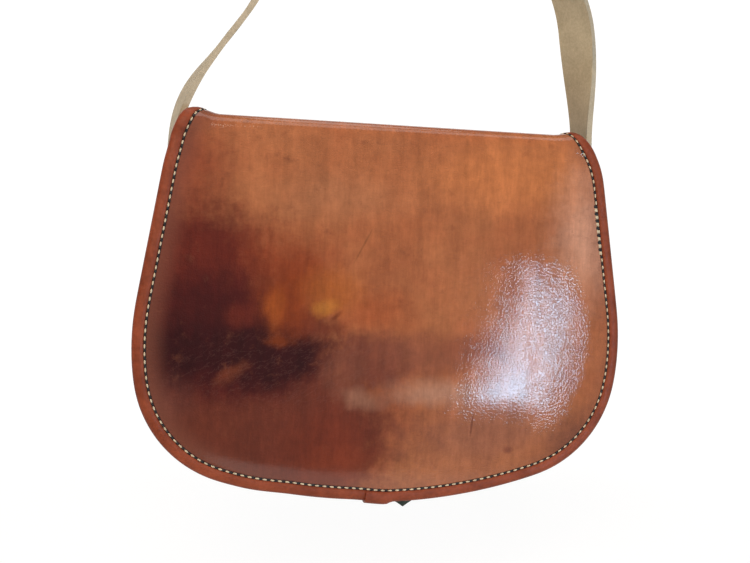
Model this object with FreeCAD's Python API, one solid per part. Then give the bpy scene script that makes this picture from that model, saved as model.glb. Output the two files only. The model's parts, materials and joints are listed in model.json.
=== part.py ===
# Saddle handbag: a leather body with a gusset, a full flap that folds over its top, a tongue and
# stud closure behind the flap, and a buckled shoulder strap riveted to the gusset's two ends.
# Millimetres. X is the bag's width, -Y its front, +Z up. The bag is drawn with z = 0 at the flap's
# lowest edge, and every piece is moved at the end so that the origin is where the strap hangs.
import FreeCAD, Part
import math
import os

from FreeCAD import Vector

os.makedirs("parts", exist_ok=True)

# Flap outline, over its binding
flap_width = 300.0
flap_height = 228.0
widest_height = 95.0
bottom_radius = 337.0
corner_radius = 72.0
side_lean = 9.5
shoulder_radius = 50.0
shoulder_inset = 12.16

# Body, smaller than the flap all round
body_inset = 9.5
mouth_drop = 26.0
mouth_depth = 36.0
back_lean = 7.0

# Leather, lining and the strip that binds the edges
leather_thickness = 2.0
lining_thickness = 0.8
binding_thickness = 1.1
binding_width = 7.0
gusset_thickness = 2.0
flange_width = 9.4
fold_radius = 10.0
fold_gap = 0.3
flap_gap = 9.5

# Lap where the flap's two binding strips meet, left of the middle
lap_start = -12.0
lap_end = 1.0
lap_root = 6.0

# Closure: a pointed tongue inside the flap and a button stud on the front panel
closure_x = 14.5
stud_height = 32.0
stud_base_radius = 5.0
stud_base_thickness = 1.2
stud_neck_radius = 2.2
stud_neck_length = 4.4
stud_head_radius = 3.6
stud_head_length = 3.2
stud_head_round = 1.4
screw_radius = 1.5
screw_head_radius = 4.5
screw_head_thickness = 1.4
screw_slot_width = 1.0
screw_slot_depth = 0.7
screw_grip = 4.0
patch_radius = 11.0
patch_thickness = 1.5
tongue_width = 30.0
tongue_thickness = 2.0
tongue_top = 96.0
tongue_bend_top = 62.0
tongue_bend_bottom = 48.0
tongue_tip = -3.6
tongue_point = 9.5
keyhole_clearance = 1.4
tongue_standoff = 3.0

# Shoulder strap and its rivets
strap_width = 25.0
strap_thickness = 3.6
strap_y = -5.0
rivet_drop = 10.0
tab_rise = 10.0
strap_clearance = 0.4
rivet_radius = 2.0
rivet_head_radius = 5.0
rivet_head_thickness = 1.8
rivet_head_round = 1.0
rivet_clearance = 0.1
burr_radius = 4.6
burr_thickness = 1.6
spacer_radius = 6.0

# Strap route: bends and straight runs, from the left rivet over the top to the right one
left_bend_radius = 90.0
left_bend_lean = 36.0
left_run = 33.0
upper_bend_radius = 150.0
leg_lean = 18.0
hang_radius = 40.0
right_lean = 40.0
right_bend_radius = 80.0
right_foot_lean = 9.5
right_foot_radius = 500.0
bend_step = 8.0
bend_run = 12.0

# Twist of the strap about its own length
left_twist = -8.0
left_twist_length = 72.0
right_twist = 30.0
right_twist_start = 23.0
right_twist_rise = 88.0
right_twist_fall = 75.0

# Buckle on the left leg
buckle_place = 56.0
bar_radius = 1.75
bar_spacing = 24.0
buckle_side_gap = 1.2
buckle_clearance = 0.3
fold_back = 42.0
tail_length = 52.0
tail_flat_end = 14.0
fold_half = 5.0
ramp_end = 20.0
prong_radius = 1.5
prong_ring_wall = 1.6
prong_width = 4.0
prong_overhang = 3.0
prong_slot = 5.0
prong_hole_clearance = 0.6
hole_radius = 2.0
hole_spacing = 13.0
hole_count = 2
keeper_place = 30.0
keeper_width = 10.0
keeper_thickness = 1.6
keeper_clearance = 0.5

# Worked out from the values above
half_width = flap_width / 2.0
lean = math.radians(side_lean)
neck_half = half_width / math.cos(lean) - (flap_height - widest_height) * math.tan(lean) - shoulder_inset
mouth_height = flap_height - mouth_drop
rivet_height = mouth_height - rivet_drop
strap_end_height = rivet_height + tab_rise
panel_y = mouth_depth / 2.0
lining_y = panel_y + flap_gap
flap_y = lining_y + lining_thickness + leather_thickness
leather_top = flap_height - binding_thickness
leather_inset = body_inset + binding_thickness
gusset_inset = leather_inset + gusset_thickness
flange_inset = leather_inset + flange_width
strip_inset = body_inset + binding_width
back_angle = math.radians(back_lean)
far = 2.0 * flap_width


def unit(v):
    return v * (1.0 / v.Length)


def arc_edge(centre, start, end):
    # The shorter arc from start to end about a centre
    radius = (start - centre).Length
    middle = centre + unit((start - centre) + (end - centre)) * radius
    return Part.Arc(start, middle, end).toShape()


def line_edge(start, end):
    return Part.LineSegment(start, end).toShape()


def box(x0, x1, y0, y1, z0, z1):
    return Part.makeBox(x1 - x0, y1 - y0, z1 - z0, Vector(x0, y0, z0))


def cylinder_x(radius, x0, x1, y, z):
    return Part.makeCylinder(radius, x1 - x0, Vector(x0, y, z), Vector(1, 0, 0))


def cylinder_y(radius, y0, y1, x, z):
    return Part.makeCylinder(radius, y1 - y0, Vector(x, y0, z), Vector(0, 1, 0))


# Outlines of the flap and the body, seen from the front

bottom_centre = Vector(0, 0, bottom_radius)
side_centre = Vector(0, 0, widest_height)


def corner_centre():
    # Centre of the lower corner arc, tangent inside the bottom arc and the side circle
    from_side = half_width - corner_radius
    from_bottom = bottom_radius - corner_radius
    rise = bottom_radius - widest_height
    drop = (from_bottom ** 2 - rise ** 2 - from_side ** 2) / (2.0 * rise)
    return Vector(math.sqrt(from_side ** 2 - drop ** 2), 0, widest_height - drop)


def shoulder_centre():
    # Centre of the arc that leaves the leaning side and reaches the neck at the fold
    along = Vector(-math.sin(lean), 0, math.cos(lean))
    inward = Vector(-math.cos(lean), 0, -math.sin(lean))
    foot = side_centre - inward * half_width
    neck = Vector(neck_half, 0, flap_height)
    offset = foot + inward * shoulder_radius - neck
    half_b = offset.dot(along)
    rest = offset.dot(offset) - shoulder_radius ** 2
    return neck + offset + along * (-half_b - math.sqrt(half_b ** 2 - rest))


def body_lean():
    # Lean of the body's straight sides, which end at the flap's neck
    rise = flap_height - widest_height
    reach = math.hypot(rise, neck_half)
    return math.atan2(rise, neck_half) - math.acos((half_width - body_inset) / reach)


corner = corner_centre()
shoulder = shoulder_centre()
body_side = body_lean()


def half_outline(inset, side_angle, top_end):
    # Right half, from the bottom middle up to the top: (centre or None, start, end)
    down = corner_radius - inset
    bottom = Vector(0, 0, inset)
    low = corner + unit(corner - bottom_centre) * down
    high = corner + unit(corner - side_centre) * down
    outward = Vector(math.cos(side_angle), 0, math.sin(side_angle))
    side = side_centre + outward * (half_width - inset)
    return [(bottom_centre, bottom, low), (corner, low, high), (side_centre, high, side)] + top_end(side)


def flap_half(inset):
    def top_end(side):
        radius = shoulder_radius - inset
        start = shoulder + Vector(math.cos(lean), 0, math.sin(lean)) * radius
        rise = flap_height - shoulder.z
        end = shoulder + Vector(math.sqrt(radius ** 2 - rise ** 2), 0, rise)
        return [(None, side, start), (shoulder, start, end)]
    return half_outline(inset, lean, top_end)


def body_half(inset):
    def top_end(side):
        end = Vector(body_half_width(flap_height, inset), 0, flap_height)
        return [(None, side, end)]
    return half_outline(inset, body_side, top_end)


def body_half_width(height, inset):
    rise = height - widest_height
    return (half_width - inset) / math.cos(body_side) - rise * math.tan(body_side)


def prism(half):
    # The whole outline through the bag's depth, open upwards past the fold
    def flip(v):
        return Vector(-v.x, v.y, v.z)

    def edge(centre, start, end):
        return line_edge(start, end) if centre is None else arc_edge(centre, start, end)

    top = half[-1][2]
    above = Vector(top.x, 0, top.z + fold_radius * 2.0)
    edges = [edge(*segment) for segment in half]
    edges += [line_edge(top, above), line_edge(above, flip(above)), line_edge(flip(above), flip(top))]
    for centre, start, end in reversed(half):
        edges.append(edge(centre and flip(centre), flip(end), flip(start)))
    face = Part.Face(Part.Wire(edges))
    face.translate(Vector(0, -far / 2.0, 0))
    return face.extrude(Vector(0, far, 0))


def flap_prism(inset):
    return prism(flap_half(inset))


def body_prism(inset):
    return prism(body_half(inset))


def body_ring(outer, inner):
    return body_prism(outer).cut(body_prism(inner))


# Section of the flap and the back: front plane, front fold, top, rear fold, leaning back plane

fold_z = leather_top - fold_radius
front_fold = Vector(0, -flap_y + fold_radius, fold_z)
rear_fold_y = panel_y - (fold_radius + (fold_z - mouth_height) * math.sin(back_angle)) / math.cos(back_angle)
rear_fold = Vector(0, rear_fold_y, fold_z)
back_normal = Vector(0, math.cos(back_angle), math.sin(back_angle))
back_down = Vector(0, math.sin(back_angle), -math.cos(back_angle))


def section_points(depth):
    # The leather's outer face moved inwards by depth
    radius = fold_radius - depth
    front = front_fold + Vector(0, -radius, 0)
    rear = rear_fold + back_normal * radius
    return [front + Vector(0, 0, -far), front, front_fold + Vector(0, 0, radius),
            rear_fold + Vector(0, 0, radius), rear, rear + back_down * far]


def layer(outer, inner):
    # A sheet between two depths of the section, as wide as anything it is cut to
    a = section_points(outer)
    b = section_points(inner)
    edges = [line_edge(a[0], a[1]), arc_edge(front_fold, a[1], a[2]), line_edge(a[2], a[3]),
             arc_edge(rear_fold, a[3], a[4]), line_edge(a[4], a[5]), line_edge(a[5], b[5]),
             line_edge(b[5], b[4]), arc_edge(rear_fold, b[4], b[3]), line_edge(b[3], b[2]),
             arc_edge(front_fold, b[2], b[1]), line_edge(b[1], b[0]), line_edge(b[0], a[0])]
    face = Part.Face(Part.Wire(edges))
    face.translate(Vector(-far / 2.0, 0, 0))
    return face.extrude(Vector(far, 0, 0))


def front_of_fold(shape):
    return shape.common(box(-far, far, -far, front_fold.y - fold_gap / 2.0, -far, far))


def between_folds(shape, half):
    return shape.common(box(-half, half, front_fold.y + fold_gap / 2.0,
                            rear_fold.y - fold_gap / 2.0, -far, far))


def behind_fold(shape):
    return shape.common(box(-far, far, rear_fold.y + fold_gap / 2.0, far, -far, far))


def below_mouth(shape):
    return shape.common(box(-far, far, -far, far, -far, mouth_height))


leather = layer(0, leather_thickness)
lining_depth = leather_thickness + lining_thickness
lining = layer(leather_thickness, lining_depth)
binding = layer(-binding_thickness, lining_depth + binding_thickness)
flap_cut = flap_prism(binding_thickness)
neck_cut = neck_half - binding_thickness


# Flap

def flap_front_binding():
    ring = flap_prism(0).cut(flap_prism(binding_width))
    return front_of_fold(binding.common(ring)).cut(leather_and_lining(flap_cut))


def leather_and_lining(cut):
    return layer(0, lining_depth).common(cut)


def flap_lap():
    # The right strip's end, wrapped round the outside of the left one
    depth = lining_depth + binding_thickness
    outer = layer(-2.0 * binding_thickness, depth + binding_thickness)
    ring = flap_prism(-binding_thickness).cut(flap_prism(binding_width))
    strip = outer.common(ring).cut(layer(-binding_thickness, depth).common(flap_prism(0)))
    reach = box(lap_start, lap_root, -far, 0, -far, widest_height)
    return strip.common(reach)


def flap_bindings():
    whole = flap_front_binding()
    left = whole.common(box(-far, lap_end, -far, far, -far, far))
    right = whole.common(box(lap_end, far, -far, far, -far, far)).fuse(flap_lap())
    return left, right.removeSplitter()


def flap_top_binding():
    # Two short strips over the fold, one at each side of the neck
    depth = lining_depth + binding_thickness
    core = layer(0, lining_depth).common(box(-neck_cut, neck_cut, -far, far, -far, far))
    strips = []
    for side in (-1, 1):
        outer, inner = side * neck_half, side * (neck_half - binding_width)
        reach = box(min(outer, inner), max(outer, inner), -far, far, -far, far)
        strips.append(between_folds(layer(-binding_thickness, depth).common(reach), neck_half).cut(core))
    return strips


def closure_tongue():
    # Sewn to the lining, bent back to the stud, with a pointed tip below the flap
    back = -lining_y
    neck = -(panel_y + stud_base_thickness + tongue_standoff - tongue_thickness)
    outline = [Vector(0, back, tongue_top), Vector(0, back, tongue_bend_top),
               Vector(0, neck - tongue_thickness, tongue_bend_bottom),
               Vector(0, neck - tongue_thickness, tongue_tip)]
    shift = Vector(0, tongue_thickness, 0)
    loop = outline + [v + shift for v in reversed(outline)]
    sheet = Part.Face(Part.makePolygon(loop + [loop[0]]))
    sheet.translate(Vector(closure_x - tongue_width / 2.0, 0, 0))
    sheet = sheet.extrude(Vector(tongue_width, 0, 0))
    half = tongue_width / 2.0
    point = tongue_tip + tongue_point
    corners = [(-half, tongue_top), (-half, point), (0, tongue_tip), (half, point), (half, tongue_top)]
    plan = [Vector(closure_x + x, -far / 2.0, z) for x, z in corners]
    blank = Part.Face(Part.makePolygon(plan + [plan[0]])).extrude(Vector(0, far, 0))
    hole = cylinder_y(stud_head_radius + keyhole_clearance, -far / 2.0, 0, closure_x, stud_height)
    return sheet.common(blank).cut(hole)


# Body

def gusset():
    ring = body_ring(leather_inset, gusset_inset)
    flanges = body_ring(leather_inset, flange_inset)
    inner = leather_thickness + gusset_thickness
    back = ahead_of_back(leather_thickness)
    web = ring.common(back).common(box(-far, far, -panel_y + leather_thickness, far, -far, far))
    front_flange = flanges.common(box(-far, far, -panel_y + leather_thickness, -panel_y + inner, -far, far))
    back_flange = flanges.common(back).cut(ahead_of_back(inner))
    shape = below_mouth(web.fuse(front_flange).fuse(back_flange)).removeSplitter()
    for side in (-1, 1):
        x = side * body_half_width(rivet_height, leather_inset)
        shape = shape.cut(cylinder_x(rivet_radius, x - strap_width, x + strap_width, strap_y, rivet_height))
    return shape


def ahead_of_back(depth):
    # Everything ahead of the back panel, from its outer face moved inwards by depth
    points = section_points(depth)
    low = points[5]
    high = points[4] - back_down * far
    corners = [Vector(-far, -far, low.z), Vector(-far, low.y, low.z), Vector(-far, high.y, high.z),
               Vector(-far, -far, high.z)]
    return Part.Face(Part.makePolygon(corners + [corners[0]])).extrude(Vector(2.0 * far, 0, 0))


def front_panel():
    sheet = box(-far, far, -panel_y, -panel_y + leather_thickness, -far, mouth_height)
    hole = cylinder_y(screw_radius, -far, far, closure_x, stud_height)
    return body_prism(leather_inset).common(sheet).cut(hole)


def back_panel():
    return behind_fold(leather.common(body_prism(leather_inset)))


def front_binding():
    # Folded over the panel's edge on to the gusset
    face = body_ring(body_inset, strip_inset)
    face = face.common(box(-far, far, -panel_y - binding_thickness, -panel_y, -far, far))
    leg = body_ring(body_inset, leather_inset)
    leg = leg.common(box(-far, far, -panel_y, -panel_y + binding_width, -far, far))
    return below_mouth(face.fuse(leg)).removeSplitter()


def back_binding():
    face = layer(-binding_thickness, 0).common(body_ring(body_inset, strip_inset))
    leg = layer(0, binding_width).common(body_ring(body_inset, leather_inset))
    return behind_fold(face.fuse(leg)).removeSplitter()


def mouth_binding():
    # Folded over the front panel's upper edge, between the gusset's flanges
    outer = box(-far, far, -panel_y - binding_thickness, -panel_y + leather_thickness + binding_thickness,
                mouth_height - binding_width, mouth_height + binding_thickness)
    panel = box(-far, far, -panel_y, -panel_y + leather_thickness, -far, mouth_height)
    return outer.cut(panel).common(body_prism(flange_inset))


# Stud

def closure_stud():
    face = -panel_y
    neck = face - stud_base_thickness
    head = neck - stud_neck_length
    top = head - stud_head_length
    base = cylinder_y(stud_base_radius, neck, face, closure_x, stud_height)
    stem = cylinder_y(stud_neck_radius, head, neck, closure_x, stud_height)
    button = cylinder_y(stud_head_radius, top, head, closure_x, stud_height)
    rim = [edge for edge in button.Edges if abs(edge.CenterOfMass.y - top) < stud_head_round / 2.0]
    button = button.makeFillet(stud_head_round, rim)
    bore = cylinder_y(screw_radius, face - screw_grip, face, closure_x, stud_height)
    return base.fuse(stem).fuse(button).removeSplitter().cut(bore)


def stud_patch():
    face = -panel_y + leather_thickness
    patch = cylinder_y(patch_radius, face, face + patch_thickness, closure_x, stud_height)
    return patch.cut(cylinder_y(screw_radius, face, face + patch_thickness, closure_x, stud_height))


def stud_screw():
    seat = -panel_y + leather_thickness + patch_thickness
    shank = cylinder_y(screw_radius, -panel_y - screw_grip, seat, closure_x, stud_height)
    head = cylinder_y(screw_head_radius, seat, seat + screw_head_thickness, closure_x, stud_height)
    half = screw_slot_width / 2.0
    slot = box(closure_x - screw_head_radius, closure_x + screw_head_radius,
               seat + screw_head_thickness - screw_slot_depth, seat + screw_head_thickness,
               stud_height - half, stud_height + half)
    return shank.fuse(head).cut(slot)


# Strap ends

tab_low = rivet_height - strap_width / 2.0
strap_inner = body_half_width(tab_low, body_inset) + strap_clearance
strap_x = strap_inner + strap_thickness / 2.0
strap_outer = strap_inner + strap_thickness


def mirrored(shape):
    return shape.mirror(Vector(0, 0, 0), Vector(1, 0, 0))


def strap_rivets():
    inner = body_half_width(rivet_height, gusset_inset)
    top = strap_outer + rivet_clearance + rivet_head_thickness
    head = cylinder_x(rivet_head_radius, strap_outer + rivet_clearance, top, strap_y, rivet_height)
    rim = [edge for edge in head.Edges if abs(edge.CenterOfMass.x - top) < rivet_head_round / 2.0]
    head = head.makeFillet(rivet_head_round, rim)
    shank = cylinder_x(rivet_radius, inner - burr_thickness, strap_outer + rivet_clearance,
                       strap_y, rivet_height)
    rivet = head.fuse(shank).removeSplitter()
    return [rivet, mirrored(rivet)]


def rivet_burrs():
    inner = body_half_width(rivet_height, gusset_inset)
    disc = cylinder_x(burr_radius, inner - burr_thickness, inner + burr_thickness, strap_y, rivet_height)
    disc = disc.common(body_prism(gusset_inset))
    disc = disc.cut(cylinder_x(rivet_radius, 0, far, strap_y, rivet_height))
    return [disc, mirrored(disc)]


def strap_spacers():
    # Leather wedges that make the strap's pivot square to the leaning gusset
    inner = body_half_width(rivet_height, leather_inset)
    wedge = cylinder_x(spacer_radius, inner - spacer_radius, strap_inner - rivet_clearance,
                       strap_y, rivet_height)
    wedge = wedge.cut(body_prism(leather_inset))
    wedge = wedge.cut(cylinder_x(rivet_radius, 0, far, strap_y, rivet_height))
    return [wedge, mirrored(wedge)]


# Strap route, as stations (place, heading, twist)

def smooth(value):
    t = min(max(value, 0.0), 1.0)
    return t * t * (3.0 - 2.0 * t)


def direction(heading):
    return Vector(math.sin(heading), 0, math.cos(heading))


def inward(heading):
    # Across the strap's thickness, towards the inside of the loop
    return Vector(math.cos(heading), 0, -math.sin(heading))


def walk_line(route, length):
    place, heading = route[-1]
    route.append((place + direction(heading) * length, heading))


def walk_arc(route, radius, turn):
    # Positive turns lean towards +X
    steps = math.ceil(max(abs(math.degrees(turn)) / bend_step, abs(turn) * radius / bend_run))
    place, heading = route[-1]
    side = 1.0 if turn > 0 else -1.0
    centre = place + inward(heading) * (radius * side)
    for step in range(1, steps + 1):
        angle = heading + turn * step / steps
        route.append((centre - inward(angle) * (radius * side), angle))


leg = math.radians(leg_lean)
under_bar = bar_radius + buckle_clearance + strap_thickness / 2.0
leg_step = under_bar + strap_thickness / 2.0


def left_route():
    route = [(Vector(-strap_x, strap_y, strap_end_height), 0.0)]
    bend = math.radians(left_bend_lean)
    walk_arc(route, left_bend_radius, bend)
    walk_line(route, left_run)
    walk_arc(route, upper_bend_radius, leg - bend)
    return route


leg_foot = left_route()[-1][0]
heel = leg_foot + direction(leg) * buckle_place + inward(leg) * (strap_thickness / 2.0)
hang_centre = leg_foot + inward(leg) * (leg_step + hang_radius)
hang_centre = hang_centre + direction(leg) * (-hang_centre.x / math.sin(leg))
hang_height = hang_centre.z + hang_radius - strap_thickness / 2.0


def on_leg(along, across):
    # A place near the buckle: along the leg from the heel bar, and across towards the inside
    return heel + direction(leg) * along + inward(leg) * across


def right_route():
    # From the far side of the buckle over the top and down to the right rivet
    steep = math.radians(right_lean)
    slight = math.radians(right_foot_lean)
    route = [(hang_centre - inward(leg) * hang_radius, leg)]
    walk_arc(route, hang_radius, math.pi - steep - leg)
    turn_in = right_bend_radius * (math.cos(slight) - math.cos(steep))
    turn_in = turn_in + right_foot_radius * (1.0 - math.cos(slight))
    walk_line(route, (strap_x - turn_in - route[-1][0].x) / math.sin(steep))
    walk_arc(route, right_bend_radius, steep - slight)
    walk_arc(route, right_foot_radius, slight)
    run = route[-1][0].z - strap_end_height
    pieces = math.ceil(max(run, 0.0) / bend_run)
    for _ in range(pieces):
        walk_line(route, run / pieces)
    return route


def left_turn(place):
    share = (place.z - strap_end_height) / left_twist_length
    return math.radians(left_twist) * math.sin(math.pi * min(share, 1.0)) ** 2


def right_turn(place):
    if place.x < 0:
        return 0.0
    above = place.z - strap_end_height
    rise = smooth((above - right_twist_start) / (right_twist_rise - right_twist_start))
    fall = smooth((above - right_twist_rise) / right_twist_fall)
    return math.radians(right_twist) * rise * (1.0 - fall)


def strap_section(place, heading, twist):
    across = inward(heading)
    wide = Vector(0, math.cos(twist), 0) + across * math.sin(twist)
    thick = across * math.cos(twist) - Vector(0, math.sin(twist), 0)
    w = wide * (strap_width / 2.0)
    t = thick * (strap_thickness / 2.0)
    corners = [place - w - t, place + w - t, place + w + t, place - w + t]
    return Part.makePolygon(corners + [corners[0]])


def strap_run(route, twist):
    sections = [strap_section(place, heading, twist(place)) for place, heading in route]
    return Part.makeLoft(sections, True, True)


def strap_tab(side):
    # The rounded end round the rivet
    low, high = side * strap_inner, side * strap_outer
    x0, x1 = min(low, high), max(low, high)
    tab = box(x0, x1, strap_y - strap_width / 2.0, strap_y + strap_width / 2.0,
              rivet_height, strap_end_height)
    tab = tab.fuse(cylinder_x(strap_width / 2.0, x0, x1, strap_y, rivet_height))
    return tab.cut(cylinder_x(rivet_radius + rivet_clearance, x0, x1, strap_y, rivet_height))


def leg_box(along0, along1, across0, across1, half):
    # A block in the left leg's own directions
    shape = box(across0, across1, -half, half, along0, along1)
    shape.rotate(Vector(0, 0, 0), Vector(0, 1, 0), leg_lean)
    shape.translate(heel)
    return shape


def leg_cylinder(radius, half, along, across):
    # A round bar across the strap
    centre = on_leg(along, across)
    return cylinder_y(radius, centre.y - half, centre.y + half, centre.x, centre.z)


fold_radius_outer = bar_radius + buckle_clearance + strap_thickness
half_strap = strap_width / 2.0


def strap_short():
    # Left length: riveted end, and an upper end folded back round the buckle's heel bar
    route = left_route()
    walk_line(route, buckle_place)
    shape = strap_run(route, left_turn).fuse(strap_tab(-1))
    shape = shape.fuse(leg_box(-fold_back, 0, -strap_thickness, strap_thickness, half_strap))
    shape = shape.fuse(leg_cylinder(fold_radius_outer, half_strap, 0, 0))
    shape = shape.cut(leg_cylinder(bar_radius + buckle_clearance, strap_width, 0, 0))
    reach = bar_radius + buckle_clearance + prong_ring_wall + strap_thickness
    return shape.cut(leg_box(-reach, reach, -reach, reach, prong_slot / 2.0)).removeSplitter()


prong_rest = -(bar_radius + prong_radius + rivet_clearance)


def prong_arm(radius, start):
    # Round arm along the leg, from near the heel bar to past the far bar
    length = bar_spacing + prong_overhang - start
    return Part.makeCylinder(radius, length, on_leg(start, prong_rest), direction(leg))


def strap_long():
    # Right length: tail over the buckle's fold, under its far bar, over the top and down
    over = -(fold_radius_outer + buckle_clearance + strap_thickness / 2.0)
    flat = -(1.5 * strap_thickness + buckle_clearance)
    rise = math.atan2(over - flat, tail_flat_end - fold_half)
    ramp = math.atan2(under_bar - over, ramp_end - fold_half)
    stations = [(-tail_length, flat, 0.0), (-tail_flat_end, flat, rise / 2.0), (-fold_half, over, rise / 2.0),
                (fold_half, over, ramp / 2.0), (ramp_end, under_bar, ramp / 2.0)]
    route = [(on_leg(along, across), leg + bend) for along, across, bend in stations] + right_route()
    shape = strap_run(route, right_turn).fuse(strap_tab(1)).removeSplitter()
    shape = shape.cut(prong_arm(prong_radius + prong_hole_clearance, 0))
    for index in range(hole_count):
        along = -tail_flat_end - hole_spacing * (index + 0.5)
        deep = on_leg(along, flat - strap_thickness)
        shape = shape.cut(Part.makeCylinder(hole_radius, 2.0 * strap_thickness, deep, inward(leg)))
    return shape


def buckle_frame():
    half = half_strap + buckle_side_gap + bar_radius
    shape = leg_cylinder(bar_radius, half, 0, 0).fuse(leg_cylinder(bar_radius, half, bar_spacing, 0))
    for side in (-half, half):
        foot = on_leg(0, 0) + Vector(0, side, 0)
        tip = on_leg(bar_spacing, 0) + Vector(0, side, 0)
        shape = shape.fuse(Part.makeCylinder(bar_radius, bar_spacing, foot, direction(leg)))
        shape = shape.fuse(Part.makeSphere(bar_radius, foot)).fuse(Part.makeSphere(bar_radius, tip))
    return shape.removeSplitter()


def buckle_prong():
    wall = bar_radius + rivet_clearance
    ring = leg_cylinder(wall + prong_ring_wall, prong_width / 2.0, 0, 0)
    arm = prong_arm(prong_radius, bar_radius)
    return ring.fuse(arm).removeSplitter().cut(leg_cylinder(wall, prong_width, 0, 0))


def strap_keeper():
    # Leather loop round the folded strap and its tail, free to slide
    outer_face = -(2.0 * strap_thickness + buckle_clearance) - keeper_clearance
    inner_face = strap_thickness + keeper_clearance
    half = half_strap + keeper_clearance
    low = -keeper_place - keeper_width / 2.0
    high = low + keeper_width
    wall = keeper_thickness
    loop = leg_box(low, high, outer_face - wall, inner_face + wall, half + wall)
    return loop.cut(leg_box(low, high, outer_face, inner_face, half))


# Write the pieces, moved so that the strap's hanging point is the origin

def write(name, *shapes):
    solids = [solid for shape in shapes for solid in shape.Solids]
    piece = solids[0] if len(solids) == 1 else Part.makeCompound(solids)
    piece.translate(Vector(0, -strap_y, -hang_height))
    piece.exportStep("parts/" + name + ".step")
    print(name, len(solids), "solids, valid", piece.isValid(), "volume", round(piece.Volume, 1))


binding_left, binding_right = flap_bindings()
write("flap_front", front_of_fold(leather.common(flap_cut)))
write("flap_front_lining", front_of_fold(lining.common(flap_cut)))
write("flap_binding_left", binding_left)
write("flap_binding_right", binding_right)
write("closure_tongue", closure_tongue())
write("flap_top", between_folds(leather, neck_cut))
write("flap_top_lining", between_folds(lining, neck_cut))
write("flap_top_binding", *flap_top_binding())
write("back_panel", back_panel())
write("back_binding", back_binding())
write("front_panel", front_panel())
write("front_binding", front_binding())
write("mouth_binding", mouth_binding())
write("gusset", gusset())
write("closure_stud", closure_stud())
write("stud_patch", stud_patch())
write("stud_screw", stud_screw())
write("strap_rivets", *strap_rivets())
write("rivet_burrs", *rivet_burrs())
write("strap_spacers", *strap_spacers())
write("strap_short", strap_short())
write("strap_long", strap_long())
write("buckle_frame", buckle_frame())
write("buckle_prong", buckle_prong())
write("strap_keeper", strap_keeper())
print("hanging point", round(hang_height, 3), "rivet axis", round(rivet_height - hang_height, 3))
print("front fold", round(front_fold.y - strap_y, 3), "rear fold", round(rear_fold.y - strap_y, 3))
print("fold height", round(flap_height - hang_height, 3), "strap x", round(strap_x, 3))
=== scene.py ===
# Saddle handbag: a full flap of hand-dyed leather with a sewn binding, over a gusseted body with a
# tongue and stud closure, on a buckled shoulder strap that shows its flesh side.
# Pieces are modelled in millimetres in the bag's own axes, X to the right, -Y to the front and z = 0
# at the flap's lowest edge, and are moved into the frame when they are finished.
import json
import math

import bmesh
import bpy
from mathutils import Matrix, Vector, kdtree, noise


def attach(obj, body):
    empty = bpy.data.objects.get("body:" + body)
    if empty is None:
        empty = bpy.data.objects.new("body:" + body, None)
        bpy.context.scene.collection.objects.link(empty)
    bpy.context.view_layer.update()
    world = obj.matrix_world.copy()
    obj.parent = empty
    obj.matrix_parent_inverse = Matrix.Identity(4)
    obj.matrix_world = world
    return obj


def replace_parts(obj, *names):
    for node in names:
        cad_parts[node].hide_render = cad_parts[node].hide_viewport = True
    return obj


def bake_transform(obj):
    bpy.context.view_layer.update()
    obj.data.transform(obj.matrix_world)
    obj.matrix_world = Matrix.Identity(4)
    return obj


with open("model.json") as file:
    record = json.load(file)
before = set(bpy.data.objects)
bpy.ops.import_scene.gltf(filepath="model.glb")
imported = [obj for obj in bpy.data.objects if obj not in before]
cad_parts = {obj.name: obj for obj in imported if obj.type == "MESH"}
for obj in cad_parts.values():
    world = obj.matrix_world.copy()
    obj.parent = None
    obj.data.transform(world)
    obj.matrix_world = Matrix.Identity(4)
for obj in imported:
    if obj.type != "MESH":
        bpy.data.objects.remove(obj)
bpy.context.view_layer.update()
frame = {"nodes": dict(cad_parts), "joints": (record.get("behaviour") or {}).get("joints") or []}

# Flap outline, over its binding
flap_width = 300.0
flap_height = 228.0
widest_height = 95.0
bottom_radius = 337.0
corner_radius = 72.0
side_lean = math.radians(9.5)
shoulder_radius = 50.0
shoulder_inset = 12.16

# Body, smaller than the flap all round
body_inset = 9.5
mouth_drop = 26.0
mouth_depth = 36.0
back_lean = math.radians(7.0)

# Leather, lining and binding
leather_thickness = 2.0
lining_thickness = 0.8
binding_thickness = 1.1
binding_width = 7.0
gusset_thickness = 2.0
fold_radius = 10.0
flap_gap = 9.5
leather_tuck = 2.5

# Hand cut of the flap's left side. A span is where a change starts, how far it takes to grow, where it ends
# and how far it takes to fade.
left_corner_reach = 4.5
left_corner_span = (204.0, 22.0, 238.0, 10.0)
low_edge_rise = 1.6
low_edge_span = (-85.0, 30.0, 4.0, 25.0)
low_edge_top = 40.0
low_edge_fade = 20.0

# Soft forms of the leather: crowns, slack waves as height and length, and edges that stand up
flap_crown = 3.2
crown_run = 60.0
crown_fade = 70.0
slack_run = 25.0
slack_fade = 30.0
slack_over_fold = 4.0
broad_wave = (1.0, 80.0)
small_wave = (0.12, 34.0)
edge_roll = (0.5, 0.0)
roll_run = 11.0
roll_fade = 40.0
roll_below_fold = 6.0
roll_left = 90.0
roll_change = 120.0
corner_rise = 2.0
corner_rise_foot = 212.0
corner_rise_width = 26.0
corner_rise_fade = 18.0
corner_rise_run = 12.0
corner_rise_end = 10.0
corner_rise_inset = 16.0
corner_rise_soft = 9.0
back_crown = 2.2
back_wave = (1.2, 70.0)
back_crown_run = 50.0
back_crown_fade = 60.0
gusset_draw = 4.0
gusset_draw_span = (25.0, 50.0, 165.0, 40.0)
gusset_sag = 1.5
gusset_sag_top = 60.0
gusset_sag_fade = 40.0

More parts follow.
